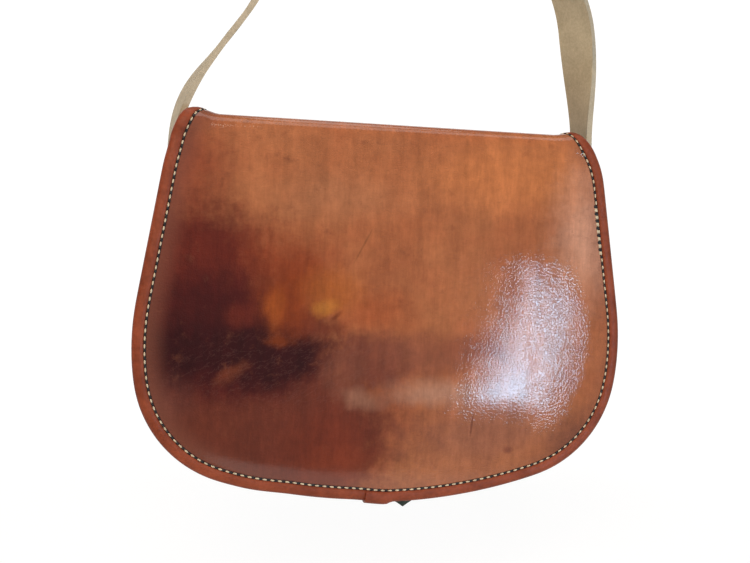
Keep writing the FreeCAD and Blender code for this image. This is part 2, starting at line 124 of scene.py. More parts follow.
# Thread: length, width and height of a stitch, and how far black ones slant
stitch_pitch = 4.45
stitch_inset = 7.2
body_stitch_inset = 5.2
cream_stitch = (2.8, 1.1, 0.9)
black_stitch = (2.3, 1.7, 1.0)
black_slant = 0.45
stitch_wander = 0.08
stitch_height = 0.12
stitch_step = 0.5
second_row_inset = 8.1
second_row_late = 4
second_row_heights = (150.0, 184.0)

# Lap where the flap's two binding strips meet
lap_start = -12.0
lap_full = 1.0
lap_root = 6.0
lap_lift = 1.2

# Closure tongue
closure_x = 14.5
stud_reach = 4.2
tongue_width = 30.0
tongue_thickness = 2.0
tongue_top = 96.0
tongue_bend = (62.0, 48.0)
tongue_tip = -4.8
tongue_point = 9.5
tongue_rim = 0.5

# Strap
strap_width = 25.0
strap_thickness = 3.6
strap_rim = 0.7
strap_y = -5.0
strap_clearance = 0.4
rivet_drop = 10.0
tab_rise = 10.0
left_bend_radius = 90.0
left_bend_lean = math.radians(36.0)
left_run = 33.0
upper_bend_radius = 150.0
leg_lean = math.radians(18.0)
hang_radius = 40.0
right_lean = math.radians(40.0)
right_bend_radius = 80.0
right_foot_lean = math.radians(9.5)
right_foot_radius = 500.0
left_twist = math.radians(-8.0)
left_twist_length = 72.0
right_twist = math.radians(30.0)
right_twist_start = 23.0
right_twist_rise = 88.0
right_twist_fall = 75.0
buckle_place = 56.0
bar_radius = 1.75
bar_spacing = 24.0
buckle_clearance = 0.3
fold_back = 42.0
tail_length = 52.0
tail_flat_end = 14.0
tail_point = 13.0
fold_half = 5.0
ramp_end = 20.0
fold_join = 16.0
fold_spread = 0.9
fold_spread_place = 8.0
fold_end_round = 6.0
tail_tip_half = 4.0
past_bar = 6.0
keeper_place = 30.0
keeper_width = 10.0
keeper_thickness = 1.6
keeper_clearance = 0.5
keeper_butt = 0.02
keeper_rim = 0.4

# Worked out from the values above
half_width = flap_width / 2.0
neck_half = (half_width / math.cos(side_lean) - (flap_height - widest_height) * math.tan(side_lean)
             - shoulder_inset)
mouth_height = flap_height - mouth_drop
rivet_height = mouth_height - rivet_drop
strap_end_height = rivet_height + tab_rise
panel_y = mouth_depth / 2.0
flap_y = panel_y + flap_gap + lining_thickness + leather_thickness
lining_depth = leather_thickness + lining_thickness
leather_top = flap_height - binding_thickness
leather_inset = body_inset + binding_thickness
fold_z = leather_top - fold_radius
front_fold_y = fold_radius - flap_y
rear_fold_y = panel_y - (fold_radius + (fold_z - mouth_height) * math.sin(back_lean)) / math.cos(back_lean)
fold_turn = math.pi / 2.0
rear_turn = fold_turn - back_lean
front_fold_end = fold_z + fold_radius * fold_turn
top_length = rear_fold_y - front_fold_y
rear_fold_start = front_fold_end + top_length
rear_fold_end = rear_fold_start + fold_radius * rear_turn
top_middle = front_fold_end + top_length / 2.0
back_down = Vector((0.0, math.sin(back_lean), -math.cos(back_lean)))

# The bag's own axes in the frame, from the front fold's joint
joints = {joint["name"]: joint for joint in frame["joints"]}
millimetre = 0.001
fold_place = Vector(joints["flap_front_fold"]["pos_m"])
bag_origin = fold_place - Vector((0.0, front_fold_y, flap_height)) * millimetre
to_frame = Matrix.Translation(bag_origin) @ Matrix.Scale(millimetre, 4)


# Colours and materials

def srgb(code):
    # Linear colour of an sRGB hex value
    channels = [int(code[i:i + 2], 16) / 255.0 for i in (1, 3, 5)]
    linear = [c / 12.92 if c <= 0.04045 else ((c + 0.055) / 1.055) ** 2.4 for c in channels]
    return (*linear, 1.0)


def add(tree, kind, inputs=None, **settings):
    # A node with its settings, and its sockets set to values or linked to other nodes' sockets
    made = tree.nodes.new(kind)
    for key, value in settings.items():
        setattr(made, key, value)
    for key, value in (inputs or {}).items():
        if isinstance(value, bpy.types.NodeSocket):
            tree.links.new(value, made.inputs[key])
        else:
            made.inputs[key].default_value = value
    return made


def new_material(name):
    made = bpy.data.materials.new(name)
    made.use_nodes = True
    tree = made.node_tree
    tree.nodes.clear()
    return made, tree


def bag_coordinates(tree, bends=False):
    # Object coordinates turned into the bag's own millimetres. On leather that bends, the dye keeps to
    # the places that its mesh was made at.
    if bends:
        where = add(tree, "ShaderNodeAttribute", attribute_name="made_at").outputs["Vector"]
    else:
        where = add(tree, "ShaderNodeTexCoord").outputs["Object"]
    shift = -bag_origin / millimetre
    scale = (1.0 / millimetre,) * 3
    return add(tree, "ShaderNodeMapping", {"Vector": where, "Location": shift, "Scale": scale}).outputs[0]


def mottle(tree, where, size, detail, roughness, low, high, least=0.0, most=1.0):
    # Cloudy mottling with features about this many millimetres across, from its least level to its most
    clouds = add(tree, "ShaderNodeTexNoise", {"Vector": where, "Scale": 1.0 / size, "Detail": detail,
                                              "Roughness": roughness}).outputs["Fac"]
    return add(tree, "ShaderNodeMapRange", {"Value": clouds, "From Min": low, "From Max": high,
                                            "To Min": least, "To Max": most},
               interpolation_type="SMOOTHSTEP").outputs[0]


def soft_spot(tree, where, x, z, wide, high, tilt=0.0, title=""):
    # 1 at a place on the flap, falling to 0 at the edge of an ellipse with these half sizes
    spot = add(tree, "ShaderNodeMapping",
               {"Vector": where, "Location": (x, -flap_y, z), "Rotation": (0.0, math.radians(tilt), 0.0),
                "Scale": (wide, flap_width, high)}, vector_type="TEXTURE", label=title).outputs[0]
    return add(tree, "ShaderNodeTexGradient", {"Vector": spot}, gradient_type="SPHERICAL").outputs["Fac"]


def shaded(tree, colour, level):
    # A colour made darker or lighter by a level about 1
    tone = add(tree, "ShaderNodeCombineXYZ", {"X": level, "Y": level, "Z": level}).outputs[0]
    return add(tree, "ShaderNodeMix", {0: 1.0, 6: colour, 7: tone}, data_type="RGBA",
               blend_type="MULTIPLY").outputs[2]


def leather_grain(tree, where, pore, strength, distance, crease=0.25, folds=1.0, share=1.0):
    # Pebbled grain: cells of one pore size, over broader folds, lower where its share is less
    wander = add(tree, "ShaderNodeTexNoise", {"Vector": where, "Scale": 1.0 / (pore * 2.0), "Detail": 4.0,
                                              "Roughness": 0.55}).outputs["Color"]
    bent = add(tree, "ShaderNodeVectorMath", {0: where, 1: wander}, operation="ADD").outputs[0]
    cells = add(tree, "ShaderNodeTexVoronoi", {"Vector": bent, "Scale": 1.0 / pore},
                feature="DISTANCE_TO_EDGE").outputs["Distance"]
    pits = add(tree, "ShaderNodeMapRange", {"Value": cells, "From Min": 0.0, "From Max": crease},
               interpolation_type="SMOOTHSTEP").outputs[0]
    broad = mottle(tree, where, pore * 5.0, 6.0, 0.62, 0.35, 0.65, 0.0, folds)
    relief = add(tree, "ShaderNodeMath", {0: pits, 1: broad}, operation="ADD").outputs[0]
    height = add(tree, "ShaderNodeMath", {0: relief, 1: share}, operation="MULTIPLY").outputs[0]
    return add(tree, "ShaderNodeBump", {"Height": height, "Strength": strength, "Distance": distance})


# Dye on the flap, with a few patches of painted sheen: name, centre x and z, half sizes, tilt in degrees,
# colour, strength, and how far in from its edge it is at full strength, as a share of its half size. Marks
# narrower than a blot keep their shape.
smallest_blot = 10.0
blot_wander = 30.0
blot_reach = 18.0
sunk_pebbles = 0.3
dye_patches = [
    ("copper top", 82.0, 200.0, 88.0, 36.0, 0.0, "#C67644", 0.9, 0.8),
    ("rust corner", -128.0, 196.0, 52.0, 50.0, 0.0, "#8C4026", 0.9, 0.9),
    # Painted sheen: the pale pink over the right side stands for a soft reflection on the dye
    ("rosy sheen", 130.0, 168.0, 44.0, 66.0, 0.0, "#CC9478", 0.85, 0.9),
    ("grey tan", -36.0, 182.0, 62.0, 24.0, 0.0, "#AC6E4A", 0.6, 0.9),
    ("chestnut fall", -118.0, 141.0, 80.0, 53.0, 0.0, "#5E1A0F", 0.97, 0.7),
    ("rust flank", -60.0, 142.0, 42.0, 34.0, 0.0, "#883819", 0.8, 0.9),
    ("brown foot", -86.0, 46.0, 134.0, 70.0, 0.0, "#652C1D", 0.97, 0.5),
    ("rust foot", -36.0, 34.0, 40.0, 40.0, 0.0, "#722E1A", 0.8, 0.9),
    ("rust bloom", -30.0, 22.0, 34.0, 20.0, 0.0, "#80371F", 0.7, 0.9),
    ("wine pool", -104.0, 100.0, 96.0, 50.0, 0.0, "#4A120E", 0.97, 0.5),
    ("umber pool", -112.0, 91.0, 60.0, 30.0, 0.0, "#320608", 0.97, 0.7),
    ("umber arm", -72.0, 89.0, 44.0, 25.0, 0.0, "#320707", 0.97, 0.5),
    ("umber rise", -108.0, 117.0, 28.0, 24.0, 0.0, "#3E0C0A", 0.75, 0.9),
    ("red glow", -91.0, 113.0, 15.0, 11.0, 0.0, "#6A2514", 0.6, 0.9),
    ("amber glow", -60.0, 122.0, 30.0, 32.0, 0.0, "#8C3C15", 0.85, 0.8),
    ("amber heart", -71.0, 117.0, 10.0, 19.0, 0.0, "#A04E1A", 0.7, 0.95),
    ("amber tip", -69.0, 98.0, 12.0, 5.0, 0.0, "#84390F", 0.6, 0.9),
    ("rust right", -14.0, 115.0, 40.0, 22.0, 0.0, "#A2502A", 0.75, 0.9),
    ("amber cloud", -36.0, 127.0, 28.0, 20.0, 0.0, "#A65824", 0.8, 0.9),
    ("brown shade", -42.0, 106.0, 20.0, 9.0, 0.0, "#70301C", 0.8, 0.9),
    ("amber spot", -39.0, 118.0, 11.0, 7.0, -30.0, "#BC742E", 0.8, 0.95),
    ("dark dash", -34.0, 112.0, 7.0, 2.2, -42.0, "#6A2E18", 0.7, 0.9),
    ("brown belt", -8.0, 88.0, 42.0, 22.0, 0.0, "#72392A", 0.85, 0.7),
    ("belt middle", 32.0, 90.0, 54.0, 18.0, 0.0, "#8A4E38", 0.75, 0.9),
    ("brown step", -28.0, 76.0, 17.0, 22.0, 0.0, "#784230", 0.6, 0.5),
    ("belt end", 50.0, 94.0, 46.0, 12.0, 0.0, "#8A4A30", 0.6, 0.9),
    ("rust streak", -94.0, 78.0, 17.0, 6.0, -32.0, "#74371F", 0.7, 0.95),
    ("mauve foot", -132.0, 62.0, 26.0, 22.0, 0.0, "#6A3A30", 0.6, 0.9),
    # Painted sheen: the two pale patches below the belt stand for a soft reflection over the dye
    ("painted sheen", -15.0, 64.0, 20.0, 11.0, 0.0, "#A27058", 0.6, 0.9),
    ("low painted sheen", 32.0, 67.0, 48.0, 15.0, 6.0, "#B08068", 0.75, 0.9),
    ("brown gap", -4.0, 62.0, 6.0, 8.0, 0.0, "#86503C", 0.6, 0.9),
    ("rosy foot", 60.0, 42.0, 74.0, 34.0, -8.0, "#965C44", 0.8, 0.9),
    ("brown corner", 124.0, 34.0, 40.0, 30.0, -35.0, "#704030", 0.75, 0.9),
    ("bruise", 78.0, 31.0, 4.5, 3.5, 0.0, "#7A4030", 0.7, 0.8),
    ("scratch", 53.0, 47.0, 1.2, 10.0, 4.0, "#5E2E20", 0.7, 0.8),
    ("long scratch", -19.0, 154.0, 0.9, 18.0, 27.0, "#86502E", 0.7, 0.8),
]


def dyed_leather(name, patchy):
    # Vegetable-tanned cowhide, dyed by hand and waxed: the dye pools in dark blots and thins to amber,
    # and the wax lies over the grain as a clear glossy coat, so lamps show in it as crackled patches
    made, tree = new_material(name)
    where = bag_coordinates(tree, True)
    wander = add(tree, "ShaderNodeTexNoise", {"Vector": where, "Scale": 1.0 / blot_wander, "Detail": 5.0,
                                              "Roughness": 0.6}).outputs["Color"]
    centred = add(tree, "ShaderNodeVectorMath", {0: wander, 1: (0.5, 0.5, 0.5)}, operation="SUBTRACT")
    pushed = add(tree, "ShaderNodeVectorMath", {0: centred.outputs[0], "Scale": blot_reach},
                 operation="SCALE").outputs[0]
    blots = add(tree, "ShaderNodeVectorMath", {0: where, 1: pushed}, operation="ADD").outputs[0]
    ragged = mottle(tree, where, 9.0, 6.0, 0.65, 0.2, 0.8, -0.1, 0.1)
    cloud = mottle(tree, where, 55.0, 6.0, 0.6, 0.3, 0.7)
    colour = add(tree, "ShaderNodeMix", {0: cloud, 6: srgb("#A45C38"), 7: srgb("#B06A42")},
                 data_type="RGBA").outputs[2]
    for title, x, z, wide, high, tilt, code, strength, edge in dye_patches if patchy else []:
        around = where if wide < smallest_blot else blots
        spot = soft_spot(tree, around, x, z, wide, high, tilt, title)
        frayed = add(tree, "ShaderNodeMath", {0: spot, 1: ragged}, operation="ADD").outputs[0]
        soaked = add(tree, "ShaderNodeMapRange", {"Value": frayed, "From Min": 0.03, "From Max": edge,
                                                  "To Min": 0.0, "To Max": strength},
                     interpolation_type="SMOOTHSTEP").outputs[0]
        colour = add(tree, "ShaderNodeMix", {0: soaked, 6: colour, 7: srgb(code)},
                     data_type="RGBA").outputs[2]
    brushed = add(tree, "ShaderNodeMapping", {"Vector": where, "Scale": (1.0, 1.0, 0.16)}).outputs[0]
    strokes = mottle(tree, brushed, 1.6, 4.0, 0.6, 0.3, 0.7, 0.94, 1.05)
    wipes = mottle(tree, brushed, 9.0, 5.0, 0.6, 0.3, 0.7, 0.86, 1.1)
    fine = mottle(tree, where, 6.0, 6.0, 0.65, 0.25, 0.75, 0.88, 1.1)
    marks = add(tree, "ShaderNodeMath", {0: strokes, 1: fine}, operation="MULTIPLY").outputs[0]
    level = add(tree, "ShaderNodeMath", {0: marks, 1: wipes}, operation="MULTIPLY").outputs[0]
    colour = shaded(tree, colour, level)
    # Painted light over the dye: a dark sheen by the stitches, shade in the thread's groove and highlights
    # along the pool's creases
    if patchy:
        colour = painted_edge_sheen_and_groove_shade(tree, where, painted_crease_highlights(tree, where, colour))
    grain = leather_grain(tree, where, 1.7, 0.35, 0.0003).outputs[0]
    raised = pebbled_side(tree, where) if patchy else sunk_pebbles
    wax = leather_grain(tree, where, 1.8, 0.14, 0.0003, 0.25, 0.1, raised).outputs[0]
    shader = add(tree, "ShaderNodeBsdfPrincipled",
                 {"Base Color": colour, "Roughness": 0.5, "Normal": creases(tree, where, grain), "IOR": 1.5,
                  "Specular IOR Level": 0.08, "Coat Weight": 0.8, "Coat Roughness": 0.075,
                  "Coat Normal": wax})
    add(tree, "ShaderNodeOutputMaterial", {"Surface": shader.outputs[0]})
    return made


def pebbled_side(tree, where):
    # How far the pebbles stand up through the wax: most at the flap's right side, little elsewhere
    side = soft_spot(tree, where, 104.0, 98.0, 32.0, 56.0)
    return add(tree, "ShaderNodeMapRange", {"Value": side, "From Min": 0.1, "From Max": 0.55,
                                            "To Min": sunk_pebbles, "To Max": 1.0},
               interpolation_type="SMOOTHSTEP").outputs[0]


def painted_edge_sheen_and_groove_shade(tree, where, colour):
    # Painted light by the stitches: a dark painted sheen where the leather dips to them, most at the left,
    # and painted shade, nearly black, in the thread's groove
    inset = add(tree, "ShaderNodeAttribute", attribute_name="from_edge").outputs["Fac"]
    across = add(tree, "ShaderNodeSeparateXYZ", {0: where}).outputs["X"]
    left = add(tree, "ShaderNodeMapRange", {"Value": across, "From Min": -110.0, "From Max": -60.0,
                                            "To Min": 0.7, "To Max": 0.3},
               interpolation_type="SMOOTHSTEP").outputs[0]
    # Painted sheen: a dark reflection where the leather dips to the stitches
    dip = add(tree, "ShaderNodeMapRange", {"Value": inset, "From Min": stitch_inset,
                                           "From Max": stitch_inset + 15.0, "To Min": 1.0, "To Max": 0.0},
              interpolation_type="SMOOTHSTEP").outputs[0]
    edge_sheen = add(tree, "ShaderNodeMath", {0: dip, 1: left}, operation="MULTIPLY").outputs[0]
    colour = add(tree, "ShaderNodeMix", {0: edge_sheen, 6: colour, 7: srgb("#7A4636")},
                 data_type="RGBA").outputs[2]
    # Painted shade, nearly black, in the thread's groove
    groove_shade = add(tree, "ShaderNodeMapRange", {"Value": inset, "From Min": stitch_inset + 0.5,
                                              "From Max": stitch_inset + 1.3, "To Min": 0.9, "To Max": 0.0},
                 interpolation_type="SMOOTHSTEP").outputs[0]
    return add(tree, "ShaderNodeMix", {0: groove_shade, 6: colour, 7: srgb("#1A0E0A")},
               data_type="RGBA").outputs[2]


def crease_lines(tree, where, tilt, stretch, size):
    # Near 0 along thin wrinkles that run one way, and larger between them
    drawn = add(tree, "ShaderNodeMapping", {"Vector": where, "Rotation": (0.0, math.radians(tilt), 0.0)})
    drawn = add(tree, "ShaderNodeMapping", {"Vector": drawn.outputs[0], "Scale": (stretch, 1.0, 1.0)})
    lines = add(tree, "ShaderNodeTexNoise", {"Vector": drawn.outputs[0], "Scale": 1.0 / size, "Detail": 5.0,
                                             "Roughness": 0.6}).outputs["Fac"]
    centred = add(tree, "ShaderNodeMath", {0: lines, 1: 0.5}, operation="SUBTRACT").outputs[0]
    return add(tree, "ShaderNodeMath", {0: centred}, operation="ABSOLUTE").outputs[0]


def painted_crease_highlights(tree, where, colour):
    # Painted highlights: pale lines along the creases of the dark pool and the belt beside it, where the
    # wax catches the light
    pool = soft_spot(tree, where, -52.0, 80.0, 115.0, 34.0)
    zone = add(tree, "ShaderNodeMapRange", {"Value": pool, "From Min": 0.0, "From Max": 0.6,
                                            "To Min": 0.0, "To Max": 0.12},
               interpolation_type="SMOOTHSTEP").outputs[0]
    wrinkle = crease_lines(tree, where, 30.0, 0.3, 4.2)
    line = add(tree, "ShaderNodeMapRange", {"Value": wrinkle, "From Min": 0.0, "From Max": 0.022,
                                            "To Min": 1.0, "To Max": 0.0},
               interpolation_type="SMOOTHSTEP").outputs[0]
    # Painted highlight on the crease lines, within the pool
    crease_highlight = add(tree, "ShaderNodeMath", {0: zone, 1: line}, operation="MULTIPLY").outputs[0]
    return add(tree, "ShaderNodeMix", {0: crease_highlight, 6: colour, 7: srgb("#8C5C50")},
               data_type="RGBA").outputs[2]


def creases(tree, where, below):
    # Fine wrinkles that run across the flap where the hide was bent
    wrinkle = crease_lines(tree, where, 0.0, 0.3, 5.0)
    height = add(tree, "ShaderNodeMapRange", {"Value": wrinkle, "From Min": 0.0, "From Max": 0.06},
                 interpolation_type="SMOOTHSTEP").outputs[0]
    return add(tree, "ShaderNodeBump", {"Height": height, "Normal": below, "Strength": 0.25,
                                        "Distance": 0.0003}).outputs[0]


def plain_leather(name, dark, light, roughness, pore):
    # Drum-dyed strip leather with a satin finish: even colour, paler where it is bent and rubbed
    made, tree = new_material(name)
    where = bag_coordinates(tree)
    cloud = mottle(tree, where, 16.0, 6.0, 0.6, 0.3, 0.7)
    colour = add(tree, "ShaderNodeMix", {0: cloud, 6: srgb(dark), 7: srgb(light)},
                 data_type="RGBA").outputs[2]
    fine = mottle(tree, where, 2.4, 4.0, 0.55, 0.3, 0.7, 0.9, 1.08)
    colour = shaded(tree, colour, fine)
    sheen = mottle(tree, where, 11.0, 4.0, 0.55, 0.3, 0.7, roughness - 0.08, roughness + 0.08)
    grain = leather_grain(tree, where, pore, 0.3, 0.0002).outputs[0]
    shader = add(tree, "ShaderNodeBsdfPrincipled",
                 {"Base Color": colour, "Roughness": sheen, "Normal": grain, "IOR": 1.5,
                  "Specular IOR Level": 0.18})
    add(tree, "ShaderNodeOutputMaterial", {"Surface": shader.outputs[0]})
    return made


def suede(name, dark, light, fibre):
    # Flesh side of split leather: matt nap of short fibres that lies in cloudy patches
    made, tree = new_material(name)
    where = bag_coordinates(tree)
    cloud = mottle(tree, where, 13.0, 6.0, 0.65, 0.3, 0.7)
    fleck = mottle(tree, where, fibre, 3.0, 0.7, 0.3, 0.72)
    both = add(tree, "ShaderNodeMath", {0: cloud, 1: fleck}, operation="ADD").outputs[0]
    share = add(tree, "ShaderNodeMath", {0: both, 1: 0.5}, operation="MULTIPLY").outputs[0]
    colour = add(tree, "ShaderNodeMix", {0: share, 6: srgb(dark), 7: srgb(light)},
                 data_type="RGBA").outputs[2]
    height = add(tree, "ShaderNodeTexNoise", {"Vector": where, "Scale": 1.0 / (fibre * 0.8), "Detail": 5.0,
                                              "Roughness": 0.7}).outputs["Fac"]
    nap = add(tree, "ShaderNodeBump", {"Height": height, "Strength": 0.5, "Distance": 0.0003}).outputs[0]
    shader = add(tree, "ShaderNodeBsdfPrincipled",
                 {"Base Color": colour, "Roughness": 0.92, "Normal": nap, "Specular IOR Level": 0.25,
                  "Sheen Weight": 0.25, "Sheen Roughness": 0.5})
    add(tree, "ShaderNodeOutputMaterial", {"Surface": shader.outputs[0]})
    return made


def thread(name, code, gloss):
    # Waxed linen thread: a tight twist that shows as slanting ribs, with painted shade darkening the
    # furrows between them
    made, tree = new_material(name)
    where = bag_coordinates(tree)
    twist = add(tree, "ShaderNodeTexWave", {"Vector": where, "Scale": 0.7, "Distortion": 2.0},
                bands_direction="DIAGONAL").outputs["Fac"]
    furrow_shade = add(tree, "ShaderNodeMapRange", {"Value": twist, "From Min": 0.0, "From Max": 1.0,
                                              "To Min": 0.0, "To Max": 0.35},
                 interpolation_type="SMOOTHSTEP").outputs[0]
    # Painted shade in the twist's furrows
    colour = add(tree, "ShaderNodeMix", {0: furrow_shade, 6: srgb(code), 7: srgb("#191612")},
                 data_type="RGBA").outputs[2]
    bump = add(tree, "ShaderNodeBump", {"Height": twist, "Strength": 0.4, "Distance": 0.0002}).outputs[0]
    shader = add(tree, "ShaderNodeBsdfPrincipled",
                 {"Base Color": colour, "Roughness": gloss, "Normal": bump})
    add(tree, "ShaderNodeOutputMaterial", {"Surface": shader.outputs[0]})
    return made


def worn_brass(name):
    # Turned brass, handled: bright but hazed with fine rubbing and a little browning
    made, tree = new_material(name)
    where = bag_coordinates(tree)
    tarnish = mottle(tree, where, 4.0, 6.0, 0.65, 0.4, 0.75)
    colour = add(tree, "ShaderNodeMix", {0: tarnish, 6: srgb("#D8B56A"), 7: srgb("#8E6B34")},
                 data_type="RGBA").outputs[2]
    haze = mottle(tree, where, 1.6, 6.0, 0.7, 0.3, 0.7, 0.2, 0.4)
    shader = add(tree, "ShaderNodeBsdfPrincipled",
                 {"Base Color": colour, "Metallic": 1.0, "Roughness": haze})
    add(tree, "ShaderNodeOutputMaterial", {"Surface": shader.outputs[0]})
    return made


flap_dye = dyed_leather("hand_dyed_flap_leather", True)
body_dye = dyed_leather("hand_dyed_body_leather", False)
binding_hide = plain_leather("rust_binding_leather", "#7A3822", "#96492E", 0.42, 1.1)
strap_grain = plain_leather("tan_strap_grain", "#8E5634", "#A56A42", 0.5, 1.2)
lining_nap = suede("suede_lining", "#7E5C3C", "#A27E58", 1.6)
strap_flesh = suede("split_suede_strap", "#AA9C80", "#C8BA9C", 1.4)
strap_edge = suede("strap_cut_edge", "#A69880", "#C6B69C", 1.0)
# Painted shade: the tongue is of the strap's split leather, coloured the dark olive that leather shows in
# the shade below the flap
shaded_tongue_leather = plain_leather("tongue_leather_painted_shade", "#3C4034", "#50564A", 0.6, 1.2)
cream_thread = thread("cream_linen_thread", "#E6D2B0", 0.6)
black_thread = thread("black_linen_thread", "#15100E", 0.5)
brass = worn_brass("worn_brass")


# Outlines, as points in the panels' flat pattern: x across, h up the front, over the top and down the back

def smooth(value):
    t = min(max(value, 0.0), 1.0)
    return t * t * (3.0 - 2.0 * t)


def within(value, start, grow, end, fade):
    # 1 inside a span and 0 outside it, with soft ends
    return smooth((value - start) / grow) * smooth((end - value) / fade)


def turn(angle):
    return Vector((math.cos(angle), math.sin(angle)))


def arc(centre, radius, start, end):
    count = max(2, math.ceil(abs(end - start) * radius))
    return [centre + turn(start + (end - start) * i / count) * radius for i in range(count + 1)]


bottom_centre = Vector((0.0, bottom_radius))
side_centre = Vector((0.0, widest_height))


def corner_centre():
    # Centre of the lower corner arc, tangent inside the bottom arc and the side circle
    from_side = half_width - corner_radius
    from_bottom = bottom_radius - corner_radius
    rise = bottom_radius - widest_height
    drop = (from_bottom ** 2 - rise ** 2 - from_side ** 2) / (2.0 * rise)
    return Vector((math.sqrt(from_side ** 2 - drop ** 2), widest_height - drop))


corner = corner_centre()
corner_low = math.atan2(corner.y - bottom_radius, corner.x)
corner_high = math.atan2(corner.y - widest_height, corner.x)
shoulder_top = side_lean + math.acos(1.0 - shoulder_inset * math.cos(side_lean) / shoulder_radius)
shoulder = Vector((neck_half, flap_height)) - turn(shoulder_top) * shoulder_radius
body_reach = Vector((neck_half, flap_height - widest_height))
body_side = (math.atan2(body_reach.y, body_reach.x)
             - math.acos((half_width - body_inset) / body_reach.length))


def lower_half(inset, side_end):
    return (arc(bottom_centre, bottom_radius - inset, -fold_turn, corner_low)
            + arc(corner, corner_radius - inset, corner_low, corner_high)
            + arc(side_centre, half_width - inset, corner_high, side_end))


def body_half_width(height, inset):
    return (half_width - inset) / math.cos(body_side) - (height - widest_height) * math.tan(body_side)


def even(points, step):
    # The same line with points at equal steps
    lengths = [0.0]
    for a, b in zip(points, points[1:]):
        lengths.append(lengths[-1] + (b - a).length)
    count = max(2, round(lengths[-1] / step))
    made, j = [], 0
    for i in range(count + 1):
        s = lengths[-1] * i / count
        while j < len(points) - 2 and lengths[j + 1] < s:
            j += 1
        span = lengths[j + 1] - lengths[j]
        made.append(points[j].lerp(points[j + 1], (s - lengths[j]) / span if span else 0.0))
    return made


def softened(points, passes):
    # Rounds a line's small corners and keeps its ends
    for _ in range(passes):
        inner = [(a + b * 2.0 + c) / 4.0 for a, b, c in zip(points, points[1:], points[2:])]
        points = [points[0]] + inner + [points[-1]]
    return points


def flap_half():
    # Right half of the flap's edge, from the bottom middle up and over the front fold to the top's middle
    points = lower_half(0.0, side_lean) + arc(shoulder, shoulder_radius, side_lean, shoulder_top)
    flat = []
    for p in points:
        rise = (p.y - fold_z) / fold_radius
        bend = math.asin(min(rise, 1.0)) if rise > 0.0 else rise
        flat.append(Vector((p.x, fold_z + bend * fold_radius)))
    return softened(even(flat + [Vector((neck_half, top_middle))], 2.0), 6)


def back_half(inset):
    # Right half of the back's edge, from its bottom middle up and over the rear fold to the top's middle
    points = lower_half(inset, body_side) + [Vector((body_half_width(flap_height, inset), flap_height))]
    foot = fold_z + fold_radius * math.sin(back_lean)
    flat = []
    for p in even(points, 1.0):
        if p.y < foot:
            h = rear_fold_end + (foot - p.y) / math.cos(back_lean)
        else:
            h = rear_fold_start + fold_radius * math.acos(min((p.y - fold_z) / fold_radius, 1.0))
        flat.append(Vector((p.x, h)))
    return softened(even(flat + [Vector((flat[-1].x, top_middle))], 2.0), 4)


def front_half(inset):
    # Right half of the front panel's edge, from its bottom middle up to the mouth
    points = lower_half(inset, body_side) + [Vector((body_half_width(mouth_height, inset), mouth_height))]
    return even(points, 2.0)


def whole(half):
    # Both halves, from the left end down, across the bottom and up to the right end
    return [Vector((-p.x, p.y)) for p in reversed(half[1:])] + half


def tangent(points, i):
    return (points[min(i + 1, len(points) - 1)] - points[max(i - 1, 0)]).normalized()


def inset_line(points, inset, side):
    # The line moved inwards across the panel; side is 1 where h grows upwards and -1 where it grows down
    made = []
    for i, p in enumerate(points):
        along = tangent(points, i)
        made.append(p + Vector((-along.y, along.x)) * (inset * side))
    return made


def along_line(points, share):
    place = min(max(share, 0.0), 1.0) * (len(points) - 1)
    i = min(int(place), len(points) - 2)
    return points[i].lerp(points[i + 1], place - i)


def wrap(x, h, depth):
    # A place of the flat pattern on the bag, and so far below the leather's outer face
    radius = fold_radius - depth
    if h <= fold_z:
        return Vector((x, depth - flap_y, h))
    if h <= front_fold_end:
        bend = (h - fold_z) / fold_radius
        return Vector((x, front_fold_y - radius * math.cos(bend), fold_z + radius * math.sin(bend)))
    if h <= rear_fold_start:
        return Vector((x, front_fold_y + h - front_fold_end, fold_z + radius))
    bend = min((h - rear_fold_start) / fold_radius, rear_turn)
    over = Vector((x, rear_fold_y + radius * math.sin(bend), fold_z + radius * math.cos(bend)))
    return over + back_down * max(h - rear_fold_end, 0.0)


def front_wrap(x, h, depth):
    # The same for the front panel, which stands upright
    return Vector((x, depth - panel_y, h))


def hand_cut(p):
    # The left shoulder stays wide up to the fold, and the lower edge is a little flat on that side
    if p.x > 0.0:
        return p
    reach = within(p.y, *left_corner_span)
    rise = within(p.x, *low_edge_span) * smooth((low_edge_top - p.y) / low_edge_fade)
    return p + Vector((-left_corner_reach * reach, low_edge_rise * rise))


flap_edge = softened([hand_cut(p) for p in whole(flap_half())], 3)
back_edge = whole(back_half(body_inset))
front_edge = whole(front_half(body_inset))


def edge_finder(points):
    tree = kdtree.KDTree(len(points))
    for i, p in enumerate(points):
        tree.insert((p.x, p.y, 0.0), i)
    tree.balance()
    return lambda x, h: tree.find((x, h, 0.0))[2]


# Mesh helpers

def slab(columns, rows, place, mark=None):
    # A sheet with thickness: place(u, v, w) gives each corner, with w 0 on the outer face and 1 inside, and
    # mark(u, v) is kept on the corners as from_edge. Outer face, inner face and rim have a material each.
    made = bmesh.new()
    made.loops.layers.uv.new("flat")
    from_edge = made.verts.layers.float.new("from_edge")
    bmesh.ops.create_grid(made, x_segments=columns, y_segments=rows, size=0.5, calc_uvs=True)
    grown = bmesh.ops.extrude_face_region(made, geom=made.faces[:], use_keep_orig=True)
    for item in grown["geom"]:
        if isinstance(item, bmesh.types.BMVert):
            item.co.z = 1.0
    for face in made.faces:
        depths = {round(vert.co.z) for vert in face.verts}
        face.material_index = 2 if len(depths) == 2 else depths.pop()
    for vert in made.verts:
        u, v, w = vert.co
        if mark:
            vert[from_edge] = mark(u + 0.5, v + 0.5)
        vert.co = place(u + 0.5, v + 0.5, w)
    return made


